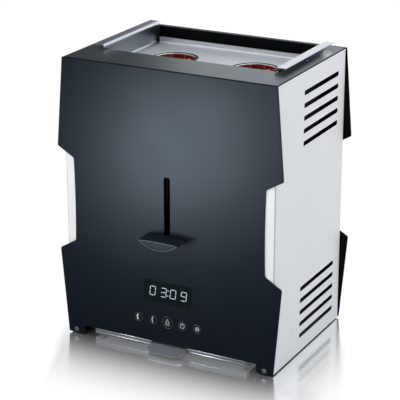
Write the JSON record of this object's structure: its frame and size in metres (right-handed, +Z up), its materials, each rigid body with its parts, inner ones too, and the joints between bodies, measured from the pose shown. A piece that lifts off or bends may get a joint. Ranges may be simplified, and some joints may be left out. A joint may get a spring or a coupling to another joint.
{
  "type": "sausage grill",
  "caption": "Upright sausage grill: sheet-metal casing with round heated chambers, lift-out insert with rails, front lift lever, display, push buttons and pull-out drip tray.",
  "frame": {"origin": "on the table plane, under the middle of the whole part's box", "axes": "+Z up, front plate with the lever towards -Y, +X to the right seen from the front"},
  "size_m": [0.3246, 0.245, 0.392],
  "materials": {
    "plate_paint": "satin powder coat",
    "frame_paint": "satin powder coat",
    "panel_paint": "fine silver coat",
    "insert_steel": "brushed stainless",
    "cage_wire": "polished wire",
    "tray_steel": "stainless sheet",
    "galvanised": "galvanised sheet",
    "reflector": "bright rolled",
    "ceramic": "unglazed",
    "quartz": "glowing quartz",
    "knob_plastic": "satin black moulding",
    "button_plastic": "fine black moulding",
    "window_plastic": "smoked window",
    "display": "black display body",
    "rubber": "matt",
    "circuit_board": "green solder mask",
    "component": "moulded",
    "screw_steel": "zinc plated",
    "guide_steel": "ground rod",
    "bush_bronze": "plain bearing"
  },
  "bodies": {
    "casing": {"front_plate": "plate_paint", "rear_plate": "plate_paint", "left_side_panel": "panel_paint", "right_side_panel": "panel_paint", "top_frame": "frame_paint", "base_plate": "galvanised", "rubber_feet": "rubber", "left_tray_runner": "galvanised", "right_tray_runner": "galvanised", "front_heat_shield": "galvanised", "rear_heat_shield": "galvanised", "left_heat_shield": "galvanised", "right_heat_shield": "galvanised", "chamber_deck": "galvanised", "left_reflector": "reflector", "right_reflector": "reflector", "left_lower_ceramic": "ceramic", "left_upper_ceramic": "ceramic", "right_lower_ceramic": "ceramic", "right_upper_ceramic": "ceramic", "left_heater_tubes": "quartz", "right_heater_tubes": "quartz", "lower_guide_bracket": "galvanised", "upper_guide_bracket": "galvanised", "bracket_screws": "screw_steel", "guide_rods": "guide_steel", "carriage_bumpers": "rubber", "control_board": "circuit_board", "board_standoffs": "screw_steel", "board_screws": "screw_steel", "display_module": "display", "display_window": "window_plastic", "button_switches": "component", "power_board": "circuit_board", "power_standoffs": "screw_steel", "transformer": "component", "relays": "component", "terminal_block": "ceramic", "cord_gland": "rubber", "plate_screws": "screw_steel"},
    "lift": {"lift_carriage": "galvanised", "guide_bushes": "bush_bronze", "lift_arm_rivets": "screw_steel", "lever_arm": "galvanised", "lever_knob": "knob_plastic", "left_lift_cup": "insert_steel", "right_lift_cup": "insert_steel"},
    "insert": {"insert_tray": "insert_steel", "left_cage": "cage_wire", "right_cage": "cage_wire"},
    "tray": {"drip_tray": "tray_steel"},
    "dark_push": {"dark_button": "button_plastic"},
    "light_push": {"light_button": "button_plastic"},
    "start_push": {"start_button": "button_plastic"},
    "timer_push": {"timer_button": "button_plastic"},
    "warm_push": {"warm_button": "button_plastic"}
  },
  "joints": [
    {"name": "lever_lift", "type": "slide", "parent": "casing", "child": "lift", "axis": [0, 0, 1], "range_m": [0, 0.07]},
    {"name": "insert_lift", "type": "slide", "parent": "casing", "child": "insert", "axis": [0, 0, 1], "range_m": [0, 0.3]},
    {"name": "tray_pull", "type": "slide", "parent": "casing", "child": "tray", "axis": [0, -1, 0], "range_m": [0, 0.17]},
    {"name": "dark_push", "type": "slide", "parent": "casing", "child": "dark_push", "axis": [0, 1, 0], "range_m": [0, 0.001], "stiffness_N_per_m": 1500, "springref_m": -0.0003},
    {"name": "light_push", "type": "slide", "parent": "casing", "child": "light_push", "axis": [0, 1, 0], "range_m": [0, 0.001], "stiffness_N_per_m": 1500, "springref_m": -0.0003},
    {"name": "start_push", "type": "slide", "parent": "casing", "child": "start_push", "axis": [0, 1, 0], "range_m": [0, 0.001], "stiffness_N_per_m": 1500, "springref_m": -0.0003},
    {"name": "timer_push", "type": "slide", "parent": "casing", "child": "timer_push", "axis": [0, 1, 0], "range_m": [0, 0.001], "stiffness_N_per_m": 1500, "springref_m": -0.0003},
    {"name": "warm_push", "type": "slide", "parent": "casing", "child": "warm_push", "axis": [0, 1, 0], "range_m": [0, 0.001], "stiffness_N_per_m": 1500, "springref_m": -0.0003}
  ]
}
